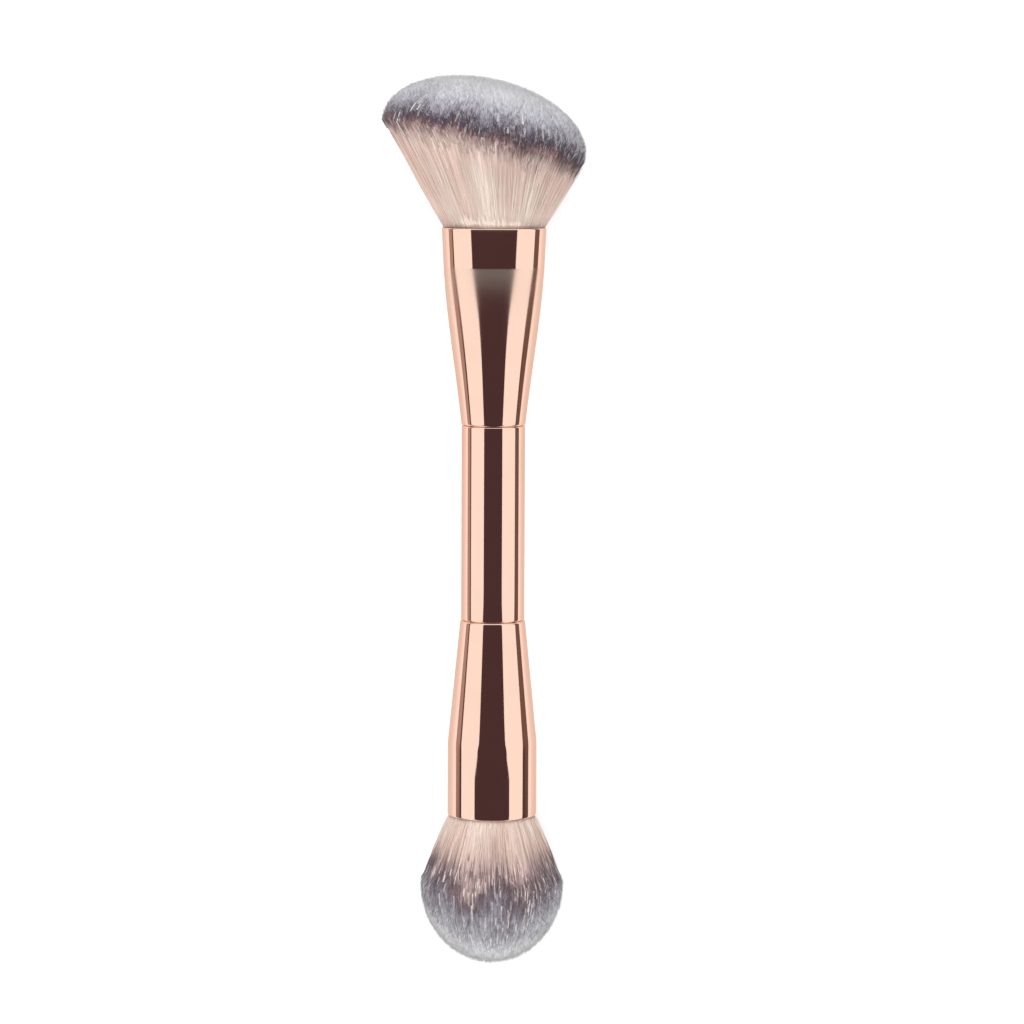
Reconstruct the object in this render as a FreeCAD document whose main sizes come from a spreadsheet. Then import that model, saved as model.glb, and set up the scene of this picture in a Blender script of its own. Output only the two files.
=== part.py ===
import FreeCAD, Part
import math
import os
import Sketcher

# A double ended makeup brush, lying on its side as it comes to rest on a table. Lengths are in
# millimetres and angles in degrees. The brush's axis is level and runs along Y, with the angled head
# at +Y and the round head at -Y. +Z is up, z = 0 is the table, and the origin is under the middle of
# the whole brush. The taller flank of the angled head is at -X.
#
# Each end is drawn in a frame of its own, in which the ferrule's mouth is at z = 0, the head grows
# along +z and the neck lies at -z. The head's width is along x and its thickness along y, and the
# table is on the side of +y. The sleeve's frame has its middle at z = 0.

# Driving dimensions: name, value, what it is.
DRIVING = [
    ("grip_length", 40.6, "length of the grip sleeve"),
    ("grip_radius", 6.6, "outside radius of the grip sleeve"),
    ("grip_wall", 0.8, "wall of the grip sleeve"),
    ("joint_gap", 0.12, "groove between the sleeve and each ferrule"),
    ("joint_round", 0.5, "rounding of the two edges that face each other at a joint"),
    ("ferrule_wall", 0.5, "wall of both ferrules"),
    ("lip_thickness", 0.9, "thickness of the lip that is turned in at a ferrule's neck"),
    ("angled_length", 41.0, "length of the angled ferrule"),
    ("angled_neck", 6.65, "outside radius of the angled ferrule at the sleeve"),
    ("mouth_width", 10.85, "half width of the pinched mouth"),
    ("mouth_depth", 8.05, "half thickness of the pinched mouth"),
    ("crease_below", 8.3, "from the mouth down to the crease under the pinched band"),
    ("crease_width", 10.45, "half width at the crease"),
    ("shoulder_below", 16.0, "from the mouth down to the fullest section under the crease"),
    ("shoulder_width", 9.8, "half width of that section"),
    ("shoulder_depth", 8.95, "half thickness of that section"),
    ("waist_below", 27.0, "from the mouth down to the middle of the taper"),
    ("waist_width", 8.42, "half width there"),
    ("waist_depth", 8.25, "half thickness there"),
    ("oval_turn", 21.4, "angle at which an oval's flat face passes into its round side"),
    ("angled_rim_round", 0.35, "rounding of the angled ferrule's rim"),
    ("round_length", 41.1, "length of the round ferrule"),
    ("round_neck", 6.75, "outside radius of the round ferrule at the sleeve"),
    ("band_radius", 9.3, "outside radius of the round ferrule's straight band"),
    ("band_length", 15.3, "length of that band, up to where the cone would meet it"),
    ("bend_radius", 12.0, "radius that eases the cone into the band"),
    ("round_rim_round", 0.3, "rounding of the round ferrule's rim"),
    ("cavity_fit", 0.05, "film of glue between a ferrule and what fills it"),
    ("root_length", 13.0, "how far the hair reaches into a ferrule"),
    ("glue_length", 8.0, "thickness of the set glue under the hair"),
    ("wedge_length", 11.0, "length of a connector's wedge inside a ferrule"),
    ("spigot_length", 12.0, "length of a connector's spigot inside the sleeve"),
    ("spigot_fit", 0.05, "film of glue between a spigot and the sleeve"),
    ("spigot_chamfer", 0.6, "lead at the end of a spigot"),
    ("bore_radius", 3.2, "radius of the hole moulded through a connector"),
    ("hair_inset", 0.45, "how far inside the pinched rim's outside the hair leaves it"),
    ("dome_offset", 2.2, "from the brush's axis to the slanted dome's centre, towards the taller flank"),
    ("dome_centre", 18.8, "height of that centre over the mouth"),
    ("dome_width", 21.5, "half width of the slanted dome"),
    ("dome_depth", 15.0, "half thickness of the slanted dome"),
    ("dome_rise", 12.25, "rise of the slanted dome over its own middle plane"),
    ("dome_tilt", 12.3, "slant of that dome"),
    ("ball_radius", 15.0, "radius of the round head at its widest"),
    ("ball_centre", 14.9, "height of its widest place over the mouth"),
    ("ball_rise", 16.8, "rise of its tip over that place"),
    ("flank_drop", 0.8, "how far under a dome's middle plane the flanks reach it"),
    ("flank_tuck", 0.15, "how far the flanks end inside a dome"),
    ("rest_press", 0.4, "how far the hair is pressed flat where the brush lies on it"),
]
WORKING_MARGIN = 5.0  # how far a cutting block reaches past what it cuts
FLATNESS = 1e-4  # how far an end face may leave its plane and still be called flat
FULL_TURN = 360.0

doc = FreeCAD.newDocument("makeup_brush")
sheet = doc.addObject("Spreadsheet::Sheet", "Sizes")
for row, (alias, value, meaning) in enumerate(DRIVING, start=1):
    sheet.set(f"A{row}", meaning)
    sheet.set(f"B{row}", str(value))
    sheet.setAlias(f"B{row}", alias)
doc.recompute()


def size(expression):
    """The number that an expression on the sheet gives."""
    found = sheet.evalExpression(expression)
    return float(getattr(found, "Value", found))


# Values that several features share, as expressions on the sheet.
BORE = "(Sizes.grip_radius - Sizes.grip_wall)"
SPIGOT = f"({BORE} - Sizes.spigot_fit)"
WALL = "Sizes.ferrule_wall"
FILL = "(Sizes.ferrule_wall + Sizes.cavity_fit)"
LIP = "Sizes.lip_thickness"
NONE = "0"
HAIR_WIDTH = "(Sizes.mouth_width - Sizes.hair_inset)"
HAIR_DEPTH = "(Sizes.mouth_depth - Sizes.hair_inset)"
HAIR_RADIUS = "Sizes.band_radius"
REST_HEIGHT = "(min(Sizes.ball_radius; Sizes.dome_depth) - Sizes.rest_press)"
CONE_TURN = ("atan((Sizes.band_radius - Sizes.round_neck)"
             " / (Sizes.round_length - Sizes.band_length))")


def sketch_on(body, name, role, height=NONE):
    """A sketch on one of the body's own planes, raised by an expression."""
    plane = next(item for item in body.Origin.OriginFeatures if item.Role == role)
    sketch = body.newObject("Sketcher::SketchObject", name)
    sketch.AttachmentSupport = [(plane, "")]
    sketch.MapMode = "FlatFace"
    sketch.setExpression("AttachmentOffset.Base.z", height)
    return sketch


def dimension(sketch, kind, *picks):
    """A dimension whose last pick is the expression that drives it."""
    *places, expression = picks
    value = size(expression)
    if kind == "Angle":
        value = math.radians(value)
    index = sketch.addConstraint(Sketcher.Constraint(kind, *places, value))
    sketch.setExpression(f"Constraints[{index}]", expression)


def link(sketch, kind, *picks):
    """A constraint that has no size."""
    sketch.addConstraint(Sketcher.Constraint(kind, *picks))


def vector(x, y):
    """A point in a sketch."""
    return FreeCAD.Vector(x, y, 0)


def arc(centre, radius, start, end):
    """An arc of a circle between two angles in degrees."""
    circle = Part.Circle(centre, FreeCAD.Vector(0, 0, 1), radius)
    return Part.ArcOfCircle(circle, math.radians(start), math.radians(end))


def outline(sketch, points):
    """Straight edges from each point to the next, joined end to end, as a list of their numbers."""
    edges = [sketch.addGeometry(Part.LineSegment(vector(*start), vector(*end)), False)
             for start, end in zip(points, points[1:])]
    for first, second in zip(edges, edges[1:]):
        link(sketch, "Coincident", first, 2, second, 1)
    return edges


def turned(body, sketch, kind="PartDesign::Revolution"):
    """Turns a profile drawn beside the axis right round it."""
    feature = body.newObject(kind, f"{sketch.Name}_turned")
    feature.Profile = sketch
    feature.ReferenceAxis = (sketch, ["V_Axis"])
    feature.Angle = FULL_TURN
    sketch.Visibility = False
    doc.recompute()
    return feature


def lofted(body, name, sketches, straight, kind):
    """A loft through the sketches, with straight walls or one smooth curve."""
    feature = body.newObject(kind, name)
    feature.Profile = sketches[0]
    feature.Sections = sketches[1:]
    feature.Ruled = straight
    doc.recompute()
    return feature


def outer_ring(shape, height):
    """Names of the edges round the outside of the flat end face at this height."""
    ends = [face for face in shape.Faces
            if max(abs(face.BoundBox.ZMin - height), abs(face.BoundBox.ZMax - height)) < FLATNESS]
    ring = max((face.OuterWire for face in ends), key=lambda wire: wire.Length)
    return [f"Edge{number}" for number, edge in enumerate(shape.Edges, start=1)
            if any(edge.isSame(rim) for rim in ring.Edges)]


def rounded(body, name, height, radius):
    """Rounds the outer edge of the end face at this height."""
    base = body.Tip
    feature = body.newObject("PartDesign::Fillet", name)
    feature.Base = (base, outer_ring(base.Shape, size(height)))
    feature.setExpression("Radius", radius)
    doc.recompute()
    return feature


def block(name, low, high):
    """A round block between two heights, wide enough to take in any section of the brush."""
    cylinder = doc.addObject("Part::Cylinder", name)
    cylinder.setExpression("Radius", f"2 * Sizes.dome_width + {WORKING_MARGIN}")
    cylinder.setExpression("Height", f"({high}) - ({low})")
    cylinder.setExpression("Placement.Base.z", low)
    return cylinder


def combined(kind, name, base, tool):
    """A boolean of two solids: Part::Common, Part::Fuse or Part::Cut."""
    feature = doc.addObject(kind, name)
    feature.Base = base
    feature.Tool = tool
    doc.recompute()
    return feature


# Angled ferrule: a drawn tube pinched to a flat-faced oval. Its sections are ovals of four arcs.

def oval(body, name, height, width, depth, inset):
    """An oval of four arcs, two wide ones for the flat faces and two tight ones for the sides.

    The arcs meet where their normals stand oval_turn away from the faces' own normal. With sin and cos
    of that angle, the faces' radius is larger than the sides' by (width - depth) / (sin + cos - 1).
    An inset makes every radius smaller by the same amount, so the wall is even.
    """
    turn = "Sizes.oval_turn"
    spread = f"((({width}) - ({depth})) / (sin({turn}) + cos({turn}) - 1))"
    side = f"(({width}) - {spread} * sin({turn}) - {inset})"
    face = f"({side} + {spread})"
    centre_x = size(f"{spread} * sin({turn})")
    centre_y = size(f"{spread} * cos({turn})")
    angle = size(turn)
    sketch = sketch_on(body, name, "XY_Plane", height)
    right = sketch.addGeometry(arc(vector(centre_x, 0), size(side), angle - 90, 90 - angle), False)
    top = sketch.addGeometry(arc(vector(0, -centre_y), size(face), 90 - angle, 90 + angle), False)
    left = sketch.addGeometry(arc(vector(-centre_x, 0), size(side), 90 + angle, 270 - angle), False)
    bottom = sketch.addGeometry(arc(vector(0, centre_y), size(face), 270 - angle, 270 + angle), False)
    for first, second in ((right, top), (top, left), (left, bottom), (bottom, right)):
        link(sketch, "Coincident", first, 2, second, 1)
    dimension(sketch, "DistanceX", -1, 1, right, 2, f"{face} * sin({turn})")
    dimension(sketch, "DistanceY", -1, 1, right, 2, f"{side} * cos({turn})")
    link(sketch, "Symmetric", right, 2, left, 1, -2)
    link(sketch, "Symmetric", right, 2, right, 1, -1)
    link(sketch, "Symmetric", left, 1, left, 2, -1)
    dimension(sketch, "Radius", right, side)
    dimension(sketch, "Radius", top, face)
    link(sketch, "Equal", right, left)
    link(sketch, "Equal", top, bottom)
    sketch.Visibility = False
    return sketch


def pinched_form(body, inset, floor, kind="PartDesign::AdditiveLoft"):
    """The pinched band and the taper under it, inset from the outer skin and ending at the floor."""
    neck_slope = ("(Sizes.waist_width - Sizes.angled_neck)"
                  " / (Sizes.angled_length - Sizes.waist_below)")
    neck = f"Sizes.angled_neck + {floor} * {neck_slope}"
    sections = [
        ("mouth", NONE, "Sizes.mouth_width", "Sizes.mouth_depth"),
        ("crease", "-Sizes.crease_below", "Sizes.crease_width", "Sizes.mouth_depth"),
        ("shoulder", "-Sizes.shoulder_below", "Sizes.shoulder_width", "Sizes.shoulder_depth"),
        ("waist", "-Sizes.waist_below", "Sizes.waist_width", "Sizes.waist_depth"),
        ("neck", f"-Sizes.angled_length + {floor}", neck, neck),
    ]
    tag = "cavity" if kind == "PartDesign::SubtractiveLoft" else "skin"
    ovals = [oval(body, f"{body.Name}_{tag}_{place}", height, width, depth, inset)
             for place, height, width, depth in sections]
    lofted(body, f"{body.Name}_{tag}_band", ovals[:2], True, kind)
    lofted(body, f"{body.Name}_{tag}_taper", ovals[1:], False, kind)


def neck_bore(body, neck):
    """The hole through the lip that is turned in at the neck."""
    bore = body.newObject("PartDesign::SubtractiveCylinder", f"{body.Name}_bore")
    plane = next(item for item in body.Origin.OriginFeatures if item.Role == "XY_Plane")
    bore.AttachmentSupport = [(plane, "")]
    bore.MapMode = "FlatFace"
    bore.setExpression("Radius", BORE)
    bore.setExpression("Height", f"{LIP} + {WORKING_MARGIN}")
    bore.setExpression("AttachmentOffset.Base.z", neck)
    doc.recompute()


def make_angled_ferrule():
    """The pinched shell, with its rolled rim and the lip turned in at the neck."""
    body = doc.addObject("PartDesign::Body", "angled_ferrule")
    pinched_form(body, NONE, NONE)
    rounded(body, "angled_rim", NONE, "Sizes.angled_rim_round")
    rounded(body, "angled_neck_edge", "-Sizes.angled_length", "Sizes.joint_round")
    pinched_form(body, WALL, LIP, "PartDesign::SubtractiveLoft")
    neck_bore(body, "-Sizes.angled_length")
    return body


# Round ferrule: a cone eased into a straight band.

def round_form(body, inset, floor, kind="PartDesign::Revolution"):
    """The cone and the band turned as one, inset from the outer skin and ending at the floor."""
    sketch = sketch_on(body, f"{body.Name}_{'cavity' if kind.endswith('Groove') else 'skin'}",
                       "XZ_Plane")
    turn = size(CONE_TURN)
    bend = size("Sizes.bend_radius")
    band = f"Sizes.band_radius - {inset}"
    neck = f"Sizes.round_neck + {floor} * tan({CONE_TURN}) - {inset}"
    bottom = f"-Sizes.round_length + {floor}"
    reach = bend * math.tan(math.radians(turn / 2))
    corner = size("-Sizes.band_length")
    straight = (size(band), corner + reach)
    slanted = (size(band) - reach * math.sin(math.radians(turn)),
               corner - reach * math.cos(math.radians(turn)))
    low = outline(sketch, [(0, 0), (0, size(bottom)), (size(neck), size(bottom)), slanted])
    high = outline(sketch, [straight, (size(band), 0), (0, 0)])
    ease = sketch.addGeometry(arc(vector(size(band) - bend, corner + reach), bend, -turn, 0), False)
    link(sketch, "Coincident", low[0], 1, -1, 1)
    link(sketch, "Coincident", high[1], 2, -1, 1)
    link(sketch, "Tangent", low[2], 2, ease, 1)
    link(sketch, "Tangent", ease, 2, high[0], 1)
    link(sketch, "Vertical", low[0])
    link(sketch, "Horizontal", low[1])
    link(sketch, "Vertical", high[0])
    link(sketch, "Horizontal", high[1])
    dimension(sketch, "DistanceY", low[0], 2, low[0], 1, f"Sizes.round_length - {floor}")
    dimension(sketch, "DistanceX", low[1], 1, low[1], 2, neck)
    dimension(sketch, "DistanceX", -1, 1, high[0], 2, band)
    dimension(sketch, "Radius", ease, "Sizes.bend_radius")
    dimension(sketch, "Angle", low[2], f"90 deg - {CONE_TURN}")
    return turned(body, sketch, kind)


def make_round_ferrule():
    """The turned shell, with its eased rim and the rounded lip turned in at the neck."""
    body = doc.addObject("PartDesign::Body", "round_ferrule")
    round_form(body, NONE, NONE)
    rounded(body, "round_rim", NONE, "Sizes.round_rim_round")
    rounded(body, "round_neck_edge", "-Sizes.round_length", "Sizes.joint_round")
    round_form(body, WALL, LIP, "PartDesign::Groove")
    neck_bore(body, "-Sizes.round_length")
    return body


def make_grip_sleeve():
    """The plain tube between the ferrules."""
    body = doc.addObject("PartDesign::Body", "grip_sleeve")
    sketch = sketch_on(body, "sleeve_wall", "XZ_Plane")
    half = size("Sizes.grip_length / 2")
    inside, outside = size(BORE), size("Sizes.grip_radius")
    edges = outline(sketch, [(inside, -half), (outside, -half), (outside, half), (inside, half),
                             (inside, -half)])
    link(sketch, "Coincident", edges[3], 2, edges[0], 1)
    for flat in (edges[0], edges[2]):
        link(sketch, "Horizontal", flat)
    link(sketch, "Vertical", edges[3])
    dimension(sketch, "DistanceX", -1, 1, edges[0], 1, BORE)
    dimension(sketch, "DistanceX", -1, 1, edges[0], 2, "Sizes.grip_radius")
    dimension(sketch, "DistanceY", edges[1], 1, edges[1], 2, "Sizes.grip_length")
    link(sketch, "Symmetric", edges[1], 1, edges[1], 2, -1)
    turned(body, sketch)
    rounded(body, "sleeve_top", "Sizes.grip_length / 2", "Sizes.joint_round")
    rounded(body, "sleeve_foot", "-Sizes.grip_length / 2", "Sizes.joint_round")
    return body


# What fills the ferrules: the hair's roots, the set glue and the wedge of a connector.

def make_fillings():
    """A solid of the inside of each ferrule, from the mouth down to the lip."""
    pinched = doc.addObject("PartDesign::Body", "pinched_filling")
    pinched_form(pinched, FILL, LIP)
    turned_body = doc.addObject("PartDesign::Body", "round_filling")
    round_form(turned_body, FILL, LIP)
    return pinched, turned_body


def slice_of(filling, name, low, high):
    """The stretch of a filling between two heights."""
    return combined("Part::Common", name, filling, block(f"{name}_block", low, high))


def make_glue_plug(end, filling):
    """The glue that holds the hair's roots, set right across the ferrule."""
    top = "-Sizes.root_length"
    return slice_of(filling, f"{end}_glue_plug", f"{top} - Sizes.glue_length", top)


def make_connector(end, filling):
    """A plug wedged on the ferrule's lip, whose spigot passes the lip and fills the sleeve's end."""
    floor = f"-Sizes.{end}_length"
    wedge = slice_of(filling, f"{end}_wedge", f"{floor} + {LIP}", f"{floor} + {LIP} + Sizes.wedge_length")
    spigot = doc.addObject("PartDesign::Body", f"{end}_spigot")
    sketch = sketch_on(spigot, f"{end}_spigot_profile", "XZ_Plane")
    radius, lead = size(SPIGOT), size("Sizes.spigot_chamfer")
    top = size(f"{floor} + {LIP}")
    tip = size(f"{floor} - Sizes.joint_gap - Sizes.spigot_length")
    edges = outline(sketch, [(0, top), (0, tip), (radius - lead, tip), (radius, tip + lead),
                             (radius, top), (0, top)])
    link(sketch, "Coincident", edges[4], 2, edges[0], 1)
    link(sketch, "PointOnObject", edges[0], 1, -2)
    link(sketch, "Vertical", edges[0])
    link(sketch, "Vertical", edges[3])
    link(sketch, "Horizontal", edges[1])
    link(sketch, "Horizontal", edges[4])
    dimension(sketch, "DistanceY", edges[0], 1, -1, 1, f"-({floor}) - {LIP}")
    dimension(sketch, "DistanceY", edges[0], 2, edges[0], 1,
              f"{LIP} + Sizes.joint_gap + Sizes.spigot_length")
    dimension(sketch, "DistanceX", -1, 1, edges[3], 1, SPIGOT)
    dimension(sketch, "DistanceX", edges[2], 1, edges[2], 2, "Sizes.spigot_chamfer")
    dimension(sketch, "DistanceY", edges[2], 1, edges[2], 2, "Sizes.spigot_chamfer")
    turned(spigot, sketch)
    plug = combined("Part::Fuse", f"{end}_plug", wedge, spigot)
    hole = doc.addObject("Part::Cylinder", f"{end}_hole")
    hole.setExpression("Radius", "Sizes.bore_radius")
    hole.setExpression("Height", f"Sizes.{end}_length")
    hole.setExpression("Placement.Base.z", f"{floor} - Sizes.spigot_length - {WORKING_MARGIN}")
    return combined("Part::Cut", f"{end}_connector", plug, hole)


# The heads: dense bundles of hair, each one solid with its root in the ferrule.

def make_table():
    """The space below the table, which presses a flat spot into each head."""
    table = doc.addObject("Part::Box", "table")
    reach = f"(2 * Sizes.dome_width + {WORKING_MARGIN})"
    table.setExpression("Length", f"2 * {reach}")
    table.setExpression("Width", reach)
    table.setExpression("Height", f"2 * {reach}")
    table.setExpression("Placement.Base.x", f"-{reach}")
    table.setExpression("Placement.Base.y", REST_HEIGHT)
    table.setExpression("Placement.Base.z", f"-{reach} / 2")
    return table


def ellipse(body, name, width, depth):
    """An ellipse across the brush, by its half width and half thickness."""
    sketch = sketch_on(body, name, "XY_Plane")
    ring = sketch.addGeometry(Part.Ellipse(vector(0, 0), size(width), size(depth)), False)
    sketch.exposeInternalGeometry(ring)
    across, through = ring + 1, ring + 2
    link(sketch, "Coincident", ring, 3, -1, 1)
    link(sketch, "Horizontal", across)
    dimension(sketch, "Distance", across, f"2 * {width}")
    dimension(sketch, "Distance", through, f"2 * {depth}")
    sketch.Visibility = False
    return sketch


def slanted(feature, drop):
    """Places a feature on the slanted dome's middle plane, or under it by a drop."""
    across = FreeCAD.Vector(0, 1, 0)
    turn = FreeCAD.Rotation(across, size("Sizes.dome_tilt"))
    feature.AttachmentOffset = FreeCAD.Placement(FreeCAD.Vector(), turn)
    feature.setExpression("AttachmentOffset.Rotation.Angle", "Sizes.dome_tilt")
    feature.setExpression("AttachmentOffset.Base.x",
                          f"-Sizes.dome_offset - ({drop}) * sin(Sizes.dome_tilt)")
    feature.setExpression("AttachmentOffset.Base.z",
                          f"Sizes.dome_centre - ({drop}) * cos(Sizes.dome_tilt)")


def flank_reach(radius, rise):
    """Where a flank ends: at the section of the dome under its middle plane, just inside it."""
    return f"({radius} * sqrt(1 - (Sizes.flank_drop / {rise})^2) - Sizes.flank_tuck)"


def crowned(body, rise, width, depth):
    """Adds the dome of hair tips, an ellipsoid, to a head."""
    dome = body.newObject("PartDesign::AdditiveEllipsoid", f"{body.Name}_dome")
    plane = next(item for item in body.Origin.OriginFeatures if item.Role == "XY_Plane")
    dome.AttachmentSupport = [(plane, "")]
    dome.MapMode = "FlatFace"
    dome.setExpression("Radius1", rise)
    dome.setExpression("Radius2", width)
    dome.setExpression("Radius3", depth)
    return dome


def make_angled_head():
    """A fan that spreads from the oval mouth to a crisp rim, under a dome that slants to one side."""
    body = doc.addObject("PartDesign::Body", "angled_head")
    mouth = ellipse(body, "fan_mouth", HAIR_WIDTH, HAIR_DEPTH)
    rim = ellipse(body, "fan_rim", flank_reach("Sizes.dome_width", "Sizes.dome_rise"),
                  flank_reach("Sizes.dome_depth", "Sizes.dome_rise"))
    slanted(rim, "Sizes.flank_drop")
    lofted(body, "fan", [mouth, rim], True, "PartDesign::AdditiveLoft")
    slanted(crowned(body, "Sizes.dome_rise", "Sizes.dome_width", "Sizes.dome_depth"), NONE)
    doc.recompute()
    return body


def make_round_head():
    """A cone that spreads from the round mouth to its widest place, under a tall dome."""
    body = doc.addObject("PartDesign::Body", "round_head")
    sketch = sketch_on(body, "round_flank", "XZ_Plane")
    reach = flank_reach("Sizes.ball_radius", "Sizes.ball_rise")
    top = "(Sizes.ball_centre - Sizes.flank_drop)"
    mouth, rim, height = size(HAIR_RADIUS), size(reach), size(top)
    edges = outline(sketch, [(0, height), (0, 0), (mouth, 0), (rim, height), (0, height)])
    link(sketch, "Coincident", edges[3], 2, edges[0], 1)
    link(sketch, "Coincident", edges[0], 2, -1, 1)
    link(sketch, "Vertical", edges[0])
    link(sketch, "Horizontal", edges[1])
    link(sketch, "Horizontal", edges[3])
    dimension(sketch, "DistanceX", -1, 1, edges[1], 2, HAIR_RADIUS)
    dimension(sketch, "DistanceX", -1, 1, edges[2], 2, reach)
    dimension(sketch, "DistanceY", -1, 1, edges[2], 2, top)
    turned(body, sketch)
    dome = crowned(body, "Sizes.ball_rise", "Sizes.ball_radius", "Sizes.ball_radius")
    dome.setExpression("AttachmentOffset.Base.z", "Sizes.ball_centre")
    doc.recompute()
    return body


def make_bristles(end, head, filling, table):
    """A head with its root in the ferrule, pressed flat where it lies on the table."""
    root = slice_of(filling, f"{end}_root", "-Sizes.root_length", NONE)
    bundle = combined("Part::Fuse", f"{end}_bundle", head, root)
    return combined("Part::Cut", f"{end}_bristles", bundle, table)


def lay_down(pieces, turn, along):
    """Turns the pieces of one end on their side and puts them on the brush's axis."""
    place = FreeCAD.Vector(size("Sizes.dome_offset"), along, size(REST_HEIGHT))
    for piece in pieces:
        piece.Placement = FreeCAD.Placement(place, turn)


pinched_filling, round_filling = make_fillings()
table = make_table()
angled_end = [
    make_angled_ferrule(),
    make_connector("angled", pinched_filling),
    make_glue_plug("angled", pinched_filling),
    make_bristles("angled", make_angled_head(), pinched_filling, table),
]
round_end = [
    make_round_ferrule(),
    make_connector("round", round_filling),
    make_glue_plug("round", round_filling),
    make_bristles("round", make_round_head(), round_filling, table),
]
grip_sleeve = make_grip_sleeve()

# Places along Y, with the whole brush centred between the dome's highest point and the ball's tip.
to_angled_mouth = size("Sizes.grip_length / 2 + Sizes.joint_gap + Sizes.angled_length")
to_round_mouth = size("Sizes.grip_length / 2 + Sizes.joint_gap + Sizes.round_length")
dome_peak = size("Sizes.dome_centre + sqrt((Sizes.dome_width * sin(Sizes.dome_tilt))^2"
                 " + (Sizes.dome_rise * cos(Sizes.dome_tilt))^2)")
ball_tip = size("Sizes.ball_centre + Sizes.ball_rise")
sleeve_middle = (to_round_mouth + ball_tip - to_angled_mouth - dome_peak) / 2
on_side = FreeCAD.Rotation(FreeCAD.Vector(1, 0, 0), -90)
turned_about = FreeCAD.Rotation(FreeCAD.Vector(0, 0, 1), 180).multiply(on_side)
lay_down(angled_end, on_side, sleeve_middle + to_angled_mouth)
lay_down(round_end, turned_about, sleeve_middle - to_round_mouth)
lay_down([grip_sleeve], on_side, sleeve_middle)
doc.recompute()

# A sub-part is written only when the whole document is sound.
sub_parts = angled_end + round_end + [grip_sleeve]
for item in doc.Objects:
    faults = {"Invalid", "Error"} & set(item.State)
    if faults:
        raise RuntimeError(f"{item.Name} is {', '.join(faults)}")
for piece in sub_parts:
    piece.Label = piece.Name
    if piece.Shape.isNull() or not piece.Shape.isValid() or len(piece.Shape.Solids) != 1:
        raise RuntimeError(f"{piece.Label} isn't one valid solid")
os.makedirs("parts", exist_ok=True)
for piece in sub_parts:
    piece.Shape.exportStep(f"parts/{piece.Label}.step")
    corners = piece.Shape.BoundBox
    print(f"{piece.Label}: {piece.Shape.Volume:.1f} mm3, z from {corners.ZMin:.2f} to {corners.ZMax:.2f}")
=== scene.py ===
"""Looks of a double ended makeup brush lying on a pale table.

Three polished metal shells are drawn again as dense surfaces, and the two heads become bundles of
single hairs. Each end is drawn in a frame of its own: x across the brush, height up from the
ferrule's mouth towards the tips, z up from the brush's axis. Lengths are millimetres until a mesh is
written, where they become metres.
"""
import logging
import math
from dataclasses import dataclass
from enum import Enum
from functools import partialmethod

import bpy
import numpy as np
from mathutils import Matrix, Vector


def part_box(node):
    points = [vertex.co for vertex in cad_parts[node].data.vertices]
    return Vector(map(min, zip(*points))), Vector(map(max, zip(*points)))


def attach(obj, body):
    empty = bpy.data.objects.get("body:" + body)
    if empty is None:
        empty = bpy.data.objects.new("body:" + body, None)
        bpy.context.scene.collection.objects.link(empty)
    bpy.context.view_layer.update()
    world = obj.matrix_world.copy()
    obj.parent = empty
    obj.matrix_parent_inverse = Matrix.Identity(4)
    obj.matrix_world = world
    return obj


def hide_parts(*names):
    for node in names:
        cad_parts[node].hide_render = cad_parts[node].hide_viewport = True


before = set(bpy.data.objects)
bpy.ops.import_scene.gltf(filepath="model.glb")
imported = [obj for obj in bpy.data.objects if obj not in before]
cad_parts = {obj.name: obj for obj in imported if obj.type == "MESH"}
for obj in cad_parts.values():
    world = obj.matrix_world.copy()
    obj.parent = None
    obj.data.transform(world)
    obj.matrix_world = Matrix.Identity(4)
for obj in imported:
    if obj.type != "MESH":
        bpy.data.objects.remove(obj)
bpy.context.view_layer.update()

LOG = logging.getLogger("makeup_brush")
MM = 0.001
STRAND_MAP = "OFBake"
PHOTO_SIDE = 1024
SENSOR = 36.0

Colour = tuple[float, float, float]


def tone(red: int, green: int, blue: int) -> Colour:
    """Turns a colour as a screen shows it into the linear values that shaders take.

    Args:
        red: The screen's red, from 0 to 255.
        green: Its green.
        blue: Its blue.

    Returns:
        The linear colour, from 0 to 1.
    """
    shares = np.array([red, green, blue]) / 255
    low, high = shares / 12.92, ((shares + 0.055) / 1.055) ** 2.4
    return tuple(np.where(shares <= 0.04045, low, high).tolist())


class End(Enum):
    """The two ends of the brush, by the direction along Y in which each one's hair grows."""

    ANGLED = 1
    ROUND = -1


@dataclass(frozen=True)
class Place:
    """Where one end's own frame lies in the row frame.

    Attributes:
        x: Brush axis, across, in millimetres.
        mouth: The ferrule's mouth along Y.
        z: Brush axis over the table.
        end: Which end it is, which says where height points.
    """

    x: float
    mouth: float
    z: float
    end: End

    def settle(self, points: np.ndarray) -> np.ndarray:
        """Turns points of the end's frame, as across, height and depth, into the row frame."""
        return points * (1, self.end.value, 1) + (self.x, self.mouth, self.z)


def place_of(end: End) -> Place:
    """Reads an end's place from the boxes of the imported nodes.

    Args:
        end: Which end.

    Returns:
        The place of its own frame.
    """
    low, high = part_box("grip_sleeve")
    ferrule_low, ferrule_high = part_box(f"{end.name.lower()}_ferrule")
    mouth = ferrule_high.y if end is End.ANGLED else ferrule_low.y
    return Place((low.x + high.x) / 2 / MM, mouth / MM, (low.z + high.z) / 2 / MM, end)


# Shader maths

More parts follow.
